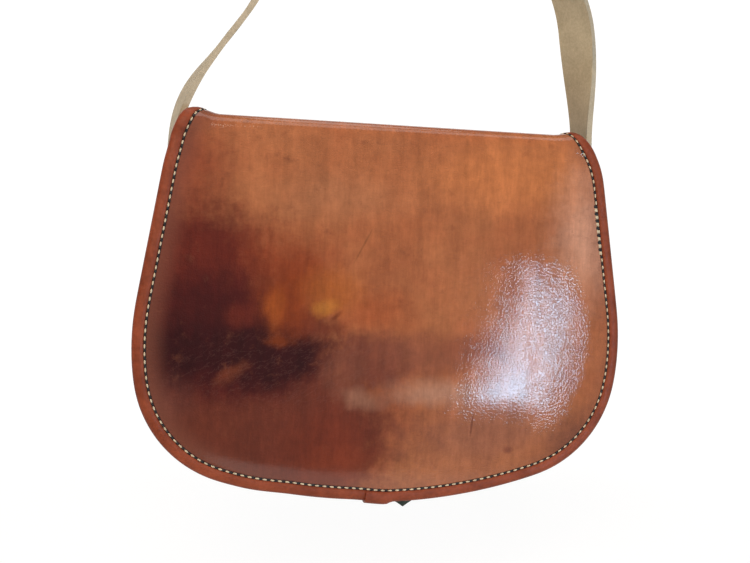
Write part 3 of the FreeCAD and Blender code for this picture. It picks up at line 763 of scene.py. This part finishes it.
def tube(columns, profile, place):
    # A closed strip: place(u, a, d) puts each profile point (a, d) at its share u of the length
    made = bmesh.new()
    made.loops.layers.uv.new("flat")
    bmesh.ops.create_grid(made, x_segments=columns, y_segments=len(profile), size=0.5, calc_uvs=True)
    for vert in made.verts:
        u, v, _ = vert.co
        a, d = profile[round((v + 0.5) * len(profile)) % len(profile)]
        vert.co = place(u + 0.5, a, d)
    bmesh.ops.remove_doubles(made, verts=made.verts, dist=0.001)
    open_edges = [edge for edge in made.edges if edge.is_boundary]
    bmesh.ops.holes_fill(made, edges=open_edges, sides=0)
    return made


def soften_rims(made, width):
    # Rounds the cut edges of a slab
    rims = [edge for edge in made.edges
            if len({face.material_index for face in edge.link_faces}) == 2]
    bmesh.ops.bevel(made, geom=rims, offset=width, offset_type="OFFSET", segments=2, profile=0.5,
                    affect="EDGES", material=-1, clamp_overlap=True)


def as_piece(name, made, materials, sharp=60.0):
    # A finished mesh moved into the frame, which remembers where it was made
    bmesh.ops.recalc_face_normals(made, faces=made.faces)
    bmesh.ops.transform(made, matrix=to_frame, verts=made.verts)
    mesh = bpy.data.meshes.new(name)
    made.to_mesh(mesh)
    made.free()
    made_at = mesh.attributes.new("made_at", "FLOAT_VECTOR", "POINT")
    made_at.data.foreach_set("vector", [c for vert in mesh.vertices for c in vert.co])
    for material in materials:
        mesh.materials.append(material)
    mesh.shade_smooth()
    mesh.set_sharp_from_angle(angle=math.radians(sharp))
    piece = bpy.data.objects.new(name, mesh)
    bpy.context.scene.collection.objects.link(piece)
    return piece


def over_front_fold(piece):
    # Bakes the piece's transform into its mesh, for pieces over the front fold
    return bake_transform(piece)


def over_rear_fold(piece):
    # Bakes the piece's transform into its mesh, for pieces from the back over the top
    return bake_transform(piece)


# Panels

def patch(edge, corner_share):
    # Places inside an outline, from u across and v up, by blending its bottom, sides and top
    low = (1.0 - corner_share) / 2.0
    top_left, top_right = edge[0], edge[-1]
    low_left, low_right = along_line(edge, low), along_line(edge, 1.0 - low)

    def inside(u, v):
        bottom = along_line(edge, low + (1.0 - 2.0 * low) * u)
        top = top_left.lerp(top_right, u)
        left = along_line(edge, low * (1.0 - v))
        right = along_line(edge, 1.0 - low * (1.0 - v))
        flat = low_left.lerp(low_right, u) * (1.0 - v) + top_left.lerp(top_right, u) * v
        return bottom * (1.0 - v) + top * v + left * (1.0 - u) + right * u - flat
    return inside


def waves(x, h, wave, seed):
    height, size = wave
    return height * noise.noise(Vector((x / size, h / size, seed)))


flap_distance = edge_finder(flap_edge)


def corner_lift(x, h):
    # The binding's ends stand up a little where they bend over the fold, more at the left
    rise = corner_rise if x < 0.0 else corner_rise / 2.0
    ends = smooth((abs(x) - neck_half + corner_rise_width) / corner_rise_fade)
    return rise * ends * within(h, corner_rise_foot, corner_rise_run, top_middle, corner_rise_end)


def flap_swell(x, h):
    # How far the flap stands out: a low crown with slack waves, drawn down at the stitches and the fold
    edge = flap_distance(x, h)
    flat = min(max(1.0 - (edge - binding_width) / crown_run, 0.0), 1.0)
    hold = (1.0 - flat * flat) * smooth((fold_z - h) / crown_fade)
    slack = smooth((edge - binding_width) / slack_run) * smooth((fold_z + slack_over_fold - h) / slack_fade)
    left, right = edge_roll
    roll = left + (right - left) * smooth((x + roll_left) / roll_change)
    roll *= smooth((fold_z - roll_below_fold - h) / roll_fade)
    loose = waves(x, h, broad_wave, 3.7) + waves(x, h, small_wave, 9.1)
    lift = corner_lift(x, h) * smooth((corner_rise_inset - edge) / corner_rise_soft)
    return flap_crown * hold + roll * smooth((edge - stitch_inset) / roll_run) + slack * loose + lift


def flap_sheet(name, outer, inner, columns, materials):
    inside = patch(inset_line(flap_edge, leather_tuck, 1.0), 0.42)

    def place(u, v, w):
        p = inside(u, v)
        return wrap(p.x, p.y, (outer, inner)[round(w)] - flap_swell(p.x, p.y))

    def inset(u, v):
        p = inside(u, v)
        return flap_distance(p.x, p.y)
    return over_front_fold(as_piece(name, slab(columns, columns, place, inset), materials))


flap_leather = flap_sheet("flap_leather", 0.0, leather_thickness, 96, [flap_dye, lining_nap, flap_dye])
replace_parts(flap_leather, "flap_front", "flap_top")
flap_lining = flap_sheet("flap_lining", leather_thickness, lining_depth, 64, [lining_nap] * 3)
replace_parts(flap_lining, "flap_front_lining", "flap_top_lining")

back_distance = edge_finder(back_edge)


def body_piece(name, made):
    return as_piece(name, made, [body_dye, lining_nap, body_dye])


def back_sheet():
    inside = patch(inset_line(back_edge, leather_tuck, -1.0), 0.45)

    def place(u, v, w):
        p = inside(u, v)
        edge = smooth((back_distance(p.x, p.y) - binding_width) / back_crown_run)
        hold = edge * smooth((p.y - rear_fold_end) / back_crown_fade)
        swell = hold * (back_crown + waves(p.x, p.y, back_wave, 1.3))
        return wrap(p.x, p.y, leather_thickness * w - swell)
    return body_piece("back_leather", slab(80, 80, place))


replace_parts(over_rear_fold(back_sheet()), "back_panel", "flap_top")


def front_sheet():
    inside = patch(inset_line(front_edge, leather_tuck, 1.0), 0.45)

    def place(u, v, w):
        p = inside(u, v)
        return front_wrap(p.x, p.y, leather_thickness * w)
    return body_piece("front_leather", slab(60, 60, place))


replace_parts(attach(front_sheet(), "bag"), "front_panel")


def gusset_strip():
    # The strip round both sides and the base, drawn in at the sides and sagging at the base
    line = whole(front_half(leather_inset))

    def place(u, v, w):
        p = along_line(line, u)
        i = round(u * (len(line) - 1))
        along = tangent(line, i)
        inward = Vector((-along.y, along.x))
        drawn = gusset_draw * within(p.y, *gusset_draw_span)
        sag = gusset_sag * smooth((gusset_sag_top - p.y) / gusset_sag_fade)
        bow = math.sin(math.pi * v) * (drawn - sag)
        q = p + inward * (bow + gusset_thickness * w)
        front = -panel_y + leather_thickness
        rear = panel_y + (mouth_height - q.y) * math.tan(back_lean)
        rear -= leather_thickness / math.cos(back_lean)
        return Vector((q.x, front + (rear - front) * v, q.y))
    return body_piece("gusset_leather", slab(220, 14, place))


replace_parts(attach(gusset_strip(), "bag"), "gusset")


# Bindings: sections as inset from the edge and depth below the leather's face

rolled_profile = [(6.6, 0.4), (6.55, -0.5), (6.1, -1.0), (4.6, -1.25), (2.8, -1.15), (1.2, -0.6),
                  (0.25, 0.45), (0.0, 1.4), (0.25, 2.35), (1.2, 3.4), (2.8, 3.95), (4.6, 4.0),
                  (6.1, 3.75), (6.55, 3.25), (6.6, 2.4)]
seam_profile = [(7.0, 0.3), (6.9, -0.5), (6.2, -1.0), (3.4, -1.15), (1.4, -0.9), (0.3, -0.1), (-0.05, 1.2),
                (0.0, 4.0), (0.15, 6.4), (0.7, 7.0), (1.4, 6.6), (1.8, 4.0), (1.8, 1.0), (3.4, 0.6)]
hem_profile = [(0.3, -0.2), (-0.45, 0.1), (-1.05, 0.7), (-1.2, 3.4), (-1.1, 6.2), (-0.6, 6.95), (0.2, 7.0),
               (1.8, 7.0), (2.6, 6.95), (3.1, 6.2), (3.2, 3.4), (3.05, 0.7), (2.45, 0.1), (1.7, -0.2)]


def bound(line, profile, side, mapping, lift=None):
    # The binding's mesh along an edge line, with the profile's (inset, depth) at each place
    def place(u, a, d):
        i = round(u * (len(line) - 1))
        along = tangent(line, i)
        inward = Vector((-along.y, along.x)) * side
        raised = lift(line[i]) if lift else 0.0
        middle = lining_depth / 2.0
        depth = d + (raised if d > middle else -raised)
        inset = a - raised * (1.0 - a / binding_width)
        p = line[i] + inward * inset
        return mapping(p.x, p.y, depth)
    return tube(len(line) - 1, profile, place)


def lap(p):
    # The right strip climbs over the left one's end
    return lap_lift * smooth((lap_root - p.x) / (lap_root - lap_full))


def flap_depth(x, h, depth):
    return wrap(x, h, depth - flap_swell(x, h))


def lifted_wrap(x, h, depth):
    return wrap(x, h, depth - corner_lift(x, h))


def binding_piece(name, made):
    return as_piece(name, made, [binding_hide], 50.0)


left_line = [p for p in flap_edge if p.x <= lap_full]
right_line = [p for p in flap_edge if p.x >= lap_start and (p.x > 0.0 or p.y < widest_height)]
flap_binding_left = binding_piece("flap_edge_left", bound(left_line, rolled_profile, 1.0, lifted_wrap))
flap_binding_right = binding_piece("flap_edge_right",
                                   bound(right_line, rolled_profile, 1.0, lifted_wrap, lap))
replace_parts(over_front_fold(flap_binding_left), "flap_binding_left", "flap_top_binding")
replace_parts(over_front_fold(flap_binding_right), "flap_binding_right", "flap_top_binding")
back_strip = binding_piece("back_edge", bound(back_edge, seam_profile, -1.0, wrap))
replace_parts(over_rear_fold(back_strip), "back_binding", "flap_top_binding")
front_strip = binding_piece("front_edge", bound(front_edge, seam_profile, 1.0, front_wrap))
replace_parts(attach(front_strip, "bag"), "front_binding")


def mouth_hem():
    reach = body_half_width(mouth_height, body_inset + binding_width)

    def place(u, across, below):
        return Vector((reach * (2.0 * u - 1.0), across - panel_y, mouth_height + binding_thickness - below))
    return binding_piece("mouth_edge", tube(80, hem_profile, place))


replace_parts(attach(mouth_hem(), "bag"), "mouth_binding")


# Stitching

def stitch_row(name, line, inset, side, mapping, late=0, part=None):
    # Cream stitches with black ones between, along a line inside an edge, or only where part(place) says
    route = even(inset_line(line, inset, side), stitch_step)
    steps = round(stitch_pitch / stitch_step)
    made = {"cream": bmesh.new(), "black": bmesh.new()}
    for n, i in enumerate(range(steps + late, len(route) - 1 - steps, steps)):
        if part and not part(route[i]):
            continue
        for colour, shift, size, slant in (("cream", 0, cream_stitch, 0.0),
                                           ("black", steps // 2, black_stitch, black_slant)):
            p = route[i + shift]
            ahead = route[i + shift + 2]
            here = mapping(p.x, p.y, -stitch_height)
            along = (mapping(ahead.x, ahead.y, -stitch_height) - here).normalized()
            out = (mapping(p.x, p.y, -1.0) - here).normalized()
            across = out.cross(along)
            swing = slant + stitch_wander * noise.noise(Vector((n * 1.7, shift, 4.2)))
            heading = (along * math.cos(swing) + across * math.sin(swing)).normalized()
            turned = Matrix((heading, out.cross(heading), out)).transposed().to_4x4()
            scale = Matrix.Diagonal((*size, 1.0))
            bmesh.ops.create_uvsphere(made[colour], u_segments=8, v_segments=6, radius=0.5,
                                      matrix=Matrix.Translation(here) @ turned @ scale)
    return (as_piece(name + "_cream", made["cream"], [cream_thread]),
            as_piece(name + "_black", made["black"], [black_thread]))


def sewn_twice(p):
    # Where the thread begins and ends, at the flap's right side
    return p.x > 0.0 and second_row_heights[0] < p.y < second_row_heights[1]


for row in stitch_row("flap_stitches", flap_edge, stitch_inset, 1.0, flap_depth):
    over_front_fold(row)
for row in stitch_row("flap_end_stitches", flap_edge, second_row_inset, 1.0, flap_depth, second_row_late,
                      sewn_twice):
    over_front_fold(row)


def on_binding(mapping):
    return lambda x, h, depth: mapping(x, h, depth - binding_thickness)


for row in stitch_row("back_stitches", back_edge, body_stitch_inset, -1.0, on_binding(wrap)):
    over_rear_fold(row)
for row in stitch_row("front_stitches", front_edge, body_stitch_inset, 1.0, on_binding(front_wrap)):
    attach(row, "bag")


# Closure tongue

def tongue():
    # From inside the flap down over the stud's neck to a blunt point
    neck = panel_y + stud_reach
    half = tongue_width / 2.0

    def place(u, v, w):
        z = tongue_tip + (tongue_top - tongue_tip) * v
        reach = half * min(max((z - tongue_tip) / tongue_point, 0.02), 1.0)
        bend = smooth((tongue_bend[0] - z) / (tongue_bend[0] - tongue_bend[1]))
        y = -(panel_y + flap_gap) * (1.0 - bend) - neck * bend
        return Vector((closure_x + reach * (2.0 * u - 1.0), y + tongue_thickness * w, z))
    made = slab(16, 60, place)
    soften_rims(made, tongue_rim)
    # Outer face and rim take the strap's leather in painted shade, the inner face the strap's own suede
    return as_piece("closure_tongue_leather", made, [shaded_tongue_leather, strap_flesh, shaded_tongue_leather])


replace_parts(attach(tongue(), "flap"), "closure_tongue")


# Strap

def heading_of(lean):
    return Vector((math.sin(lean), math.cos(lean)))


def inward_of(lean):
    return Vector((math.cos(lean), -math.sin(lean)))


def walk_line(route, length):
    place, lean = route[-1]
    route.append((place + heading_of(lean) * length, lean))


def walk_arc(route, radius, by):
    # Positive turns lean towards +X
    place, lean = route[-1]
    side = 1.0 if by > 0.0 else -1.0
    centre = place + inward_of(lean) * (radius * side)
    steps = max(2, math.ceil(abs(by) * radius / 3.0))
    for step in range(1, steps + 1):
        angle = lean + by * step / steps
        route.append((centre - inward_of(angle) * (radius * side), angle))


tab_low = rivet_height - strap_width / 2.0
strap_inner = body_half_width(tab_low, body_inset) + strap_clearance
strap_x = strap_inner + strap_thickness / 2.0
left_route = [(Vector((-strap_x, tab_low)), 0.0), (Vector((-strap_x, strap_end_height)), 0.0)]
walk_arc(left_route, left_bend_radius, left_bend_lean)
walk_line(left_route, left_run)
walk_arc(left_route, upper_bend_radius, leg_lean - left_bend_lean)
leg_foot = left_route[-1][0]
heel = leg_foot + heading_of(leg_lean) * buckle_place + inward_of(leg_lean) * (strap_thickness / 2.0)
under_bar = bar_radius + buckle_clearance + strap_thickness / 2.0
hang_centre = leg_foot + inward_of(leg_lean) * (under_bar + strap_thickness / 2.0 + hang_radius)
hang_centre = hang_centre + heading_of(leg_lean) * (-hang_centre.x / math.sin(leg_lean))


def on_leg(along, across):
    return heel + heading_of(leg_lean) * along + inward_of(leg_lean) * across


def left_turn(z):
    share = min(max((z - strap_end_height) / left_twist_length, 0.0), 1.0)
    return left_twist * math.sin(math.pi * share) ** 2


def right_turn(x, z):
    if x < 0.0:
        return 0.0
    above = z - strap_end_height
    rise = smooth((above - right_twist_start) / (right_twist_rise - right_twist_start))
    return right_twist * rise * (1.0 - smooth((above - right_twist_rise) / right_twist_fall))


def strap_band(name, line, twist, taper):
    # A flat strap along a line in the XZ plane: twist turns it about its length, taper gives its half width
    length = sum((b - a).length for a, b in zip(line, line[1:]))

    def place(u, v, w):
        i = round(v * (len(line) - 1))
        along = tangent(line, i)
        inward = Vector((along.y, 0.0, -along.x))
        p = line[i]
        angle = twist(p.x, p.y)
        wide = Vector((0.0, math.cos(angle), 0.0)) + inward * math.sin(angle)
        thick = inward * math.cos(angle) - Vector((0.0, math.sin(angle), 0.0))
        half = taper(v * length, length)
        across = (2.0 * u - 1.0) * half
        return (Vector((p.x, strap_y, p.y)) + wide * across
                + thick * (strap_thickness * (w - 0.5)))
    made = slab(10, len(line) - 1, place)
    soften_rims(made, strap_rim)
    return as_piece(name, made, [strap_flesh, strap_flesh, strap_edge], 50.0)


half_strap = strap_width / 2.0


def round_end(s):
    # Half width of a strap at s from its round end
    return math.sqrt(max(half_strap ** 2 - max(half_strap - s, 0.0) ** 2, 0.6))


def short_strap():
    # Riveted end, up the left side, round the buckle's heel bar and back down its own inner face
    bend = bar_radius + buckle_clearance + strap_thickness / 2.0
    flat = strap_thickness / 2.0
    spread = flat + fold_spread
    line = [place for place, _ in left_route]
    line += [on_leg(-fold_join, -flat), on_leg(-fold_spread_place, -spread)]
    line += [on_leg(bend * math.sin(t), -bend * math.cos(t)) for t in [math.pi * k / 8.0 for k in range(9)]]
    line += [on_leg(-fold_spread_place, spread), on_leg(-fold_join, flat), on_leg(-fold_back, flat)]
    line = softened(even(line, 2.0), 2)
    return strap_band("strap_short_leather", line, lambda x, z: left_turn(z),
                      lambda s, length: min(round_end(s), round_end(length - s + fold_end_round)))


def long_strap():
    # Tail over the buckle's fold, under its far bar, over the top and down to the right rivet
    over = -(bar_radius + 2.0 * buckle_clearance + 1.5 * strap_thickness)
    flat = -(1.5 * strap_thickness + buckle_clearance)
    line = [on_leg(-tail_length, flat), on_leg(-tail_flat_end, flat), on_leg(-fold_half, over),
            on_leg(fold_half, over), on_leg(ramp_end, under_bar), on_leg(bar_spacing + past_bar, under_bar)]
    route = [(hang_centre - inward_of(leg_lean) * hang_radius, leg_lean)]
    walk_arc(route, hang_radius, math.pi - right_lean - leg_lean)
    turn_in = (right_bend_radius * (math.cos(right_foot_lean) - math.cos(right_lean))
               + right_foot_radius * (1.0 - math.cos(right_foot_lean)))
    walk_line(route, (strap_x - turn_in - route[-1][0].x) / math.sin(right_lean))
    walk_arc(route, right_bend_radius, right_lean - right_foot_lean)
    walk_arc(route, right_foot_radius, right_foot_lean)
    line += [place for place, _ in route] + [Vector((strap_x, tab_low))]
    line = softened(even(line, 2.0), 3)

    def taper(s, length):
        point = tail_tip_half + s * (half_strap - tail_tip_half) / tail_point
        return min(round_end(length - s), point, half_strap)
    return strap_band("strap_long_leather", line, right_turn, taper)


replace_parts(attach(short_strap(), "strap"), "strap_short")
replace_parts(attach(long_strap(), "strap"), "strap_long")


def keeper_loop():
    # Narrow loop that holds the tail against the strap, butted and sewn on its inner side
    wall = keeper_thickness
    outer = -(2.0 * strap_thickness + buckle_clearance) - keeper_clearance
    inner = strap_thickness + keeper_clearance
    half = half_strap + keeper_clearance
    low = -keeper_place - keeper_width / 2.0
    ring = [(inner, keeper_butt), (inner, half), (outer, half), (outer, -half), (inner, -half),
            (inner, -keeper_butt)]
    line = softened(even([Vector(p) for p in ring], 0.8), 3)

    def place(u, v, w):
        i = round(u * (len(line) - 1))
        along = tangent(line, i)
        outward = Vector((along.y, -along.x))
        p = line[i] + outward * (wall * (1.0 - w))
        flat = on_leg(low + keeper_width * v, p.x)
        return Vector((flat.x, strap_y + p.y, flat.y))
    made = slab(len(line) - 1, 6, place)
    soften_rims(made, keeper_rim)
    return as_piece("keeper_loop", made, [strap_flesh, strap_flesh, strap_edge], 50.0)


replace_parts(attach(keeper_loop(), "keeper"), "strap_keeper")


# Rigid pieces keep their own shapes

finishes = {"closure_stud": brass, "stud_screw": brass, "strap_rivets": brass, "rivet_burrs": brass,
            "buckle_frame": brass, "buckle_prong": brass, "stud_patch": strap_grain,
            "strap_spacers": strap_grain}
for name, finish in finishes.items():
    frame["nodes"][name].data.materials.clear()
    frame["nodes"][name].data.materials.append(finish)


# Stage, lamps and camera

world = bpy.data.worlds.new("studio")
world.use_nodes = True
world.node_tree.nodes.clear()
sky = add(world.node_tree, "ShaderNodeBackground", {"Color": (1.0, 1.0, 1.0, 1.0), "Strength": 0.16})
add(world.node_tree, "ShaderNodeOutputWorld", {"Surface": sky.outputs[0]})
bpy.context.scene.world = world

# A white tray, open at the front and above: floor, back wall and two side walls with rounded corners
floor_height = -70.0
tray_front = -220.0
tray_back = 1800.0
tray_half = 1800.0
tray_round = 400.0


def white_tray():
    made = bmesh.new()
    high = tray_half
    middle = Vector((0.0, (tray_front + tray_back) / 2.0, floor_height + high / 2.0))
    size = Matrix.Diagonal((2.0 * tray_half, tray_back - tray_front, high, 1.0))
    bmesh.ops.create_cube(made, size=1.0, matrix=Matrix.Translation(middle) @ size)
    open_sides = [face for face in made.faces if face.normal.z > 0.5 or face.normal.y < -0.5]
    bmesh.ops.delete(made, geom=open_sides, context="FACES")
    corners = [edge for edge in made.edges if not edge.is_boundary]
    bmesh.ops.bevel(made, geom=corners, offset=tray_round, offset_type="OFFSET", segments=8, profile=0.5,
                    affect="EDGES", material=-1, clamp_overlap=True)
    return made


def white_paper(name):
    # Matt backdrop paper: white to the camera and in reflections, with the bag's shadow kept near its foot
    made, tree = new_material(name)
    path = add(tree, "ShaderNodeLightPath")
    seen = path.outputs["Is Camera Ray"]
    for kind in ("Is Glossy Ray", "Is Transmission Ray"):
        seen = add(tree, "ShaderNodeMath", {0: seen, 1: path.outputs[kind]}, operation="MAXIMUM").outputs[0]
    level = add(tree, "ShaderNodeMapping", {"Vector": bag_coordinates(tree), "Scale": (1.0, 1.0, 0.0)})
    away = add(tree, "ShaderNodeVectorMath", {0: level.outputs[0]}, operation="LENGTH").outputs["Value"]
    fade = add(tree, "ShaderNodeMapRange", {"Value": away, "From Min": 300.0, "From Max": 900.0,
                                            "To Min": 0.85, "To Max": 1.0},
               interpolation_type="SMOOTHSTEP").outputs[0]
    share = add(tree, "ShaderNodeMath", {0: seen, 1: fade}, operation="MULTIPLY").outputs[0]
    lit = add(tree, "ShaderNodeBsdfDiffuse", {"Color": srgb("#F4F3F0")})
    glow = add(tree, "ShaderNodeEmission", {"Color": srgb("#FFFFFF"), "Strength": 1.08})
    paper = add(tree, "ShaderNodeMixShader", {0: share, 1: lit.outputs[0], 2: glow.outputs[0]})
    add(tree, "ShaderNodeOutputMaterial", {"Surface": paper.outputs[0]})
    return made


as_piece("floor", white_tray(), [white_paper("white_backdrop_paper")])


def lamp(name, place, target, width, height, power, colour, roll=0.0):
    # A soft box at a place in the bag's axes, turned to its target and rolled about that line
    light = bpy.data.lights.new(name, "AREA")
    light.shape = "RECTANGLE"
    light.size = width * millimetre
    light.size_y = height * millimetre
    light.energy = power
    light.color = colour
    holder = bpy.data.objects.new(name, light)
    aim = (Vector(target) - Vector(place)).to_track_quat("-Z", "Y").to_matrix().to_4x4()
    turned = aim @ Matrix.Rotation(math.radians(roll), 4, "Z")
    holder.matrix_world = Matrix.Translation(to_frame @ Vector(place)) @ turned
    bpy.context.scene.collection.objects.link(holder)


lamp("window", (534.0, -950.0, -40.0), (105.0, -30.0, 110.0), 165.0, 290.0, 4.3, (0.46, 0.74, 1.0), -14.0)
lamp("soft_key", (-450.0, -1250.0, 950.0), (0.0, 0.0, 120.0), 900.0, 900.0, 20.0, (1.0, 0.86, 0.73))
lamp("top_fill", (200.0, 100.0, 1500.0), (0.0, 0.0, 100.0), 1200.0, 800.0, 5.0, (1.0, 1.0, 1.0))

camera_distance = 650.0
camera_yaw = math.radians(-15.0)
camera_pitch = math.radians(3.2)
camera_roll = math.radians(2.2)
camera_target = Vector((0.0, -flap_y, 131.6))
focal_pixels = 1092.0
photo_width = 750.0
photo_height = 563.0
target_pixel = (391.7, 284.5)
sensor_width = 36.0

backward = Vector((math.sin(camera_yaw) * math.cos(camera_pitch),
                   -math.cos(camera_yaw) * math.cos(camera_pitch), math.sin(camera_pitch)))
level = Vector((math.cos(camera_yaw), math.sin(camera_yaw), 0.0))
upward = backward.cross(level)
right = level * math.cos(camera_roll) + upward * math.sin(camera_roll)
upward = backward.cross(right)
lens = bpy.data.cameras.new("camera")
lens.sensor_width = sensor_width
lens.lens = focal_pixels / photo_width * sensor_width
lens.shift_x = (photo_width / 2.0 - target_pixel[0]) / photo_width
lens.shift_y = (target_pixel[1] - photo_height / 2.0) / photo_width
lens.clip_start = 0.01
camera = bpy.data.objects.new("camera", lens)
turned = Matrix((right, upward, backward)).transposed().to_4x4()
camera.matrix_world = Matrix.Translation(to_frame @ (camera_target + backward * camera_distance)) @ turned
bpy.context.scene.collection.objects.link(camera)
bpy.context.scene.camera = camera
bpy.context.scene.view_settings.view_transform = "Standard"
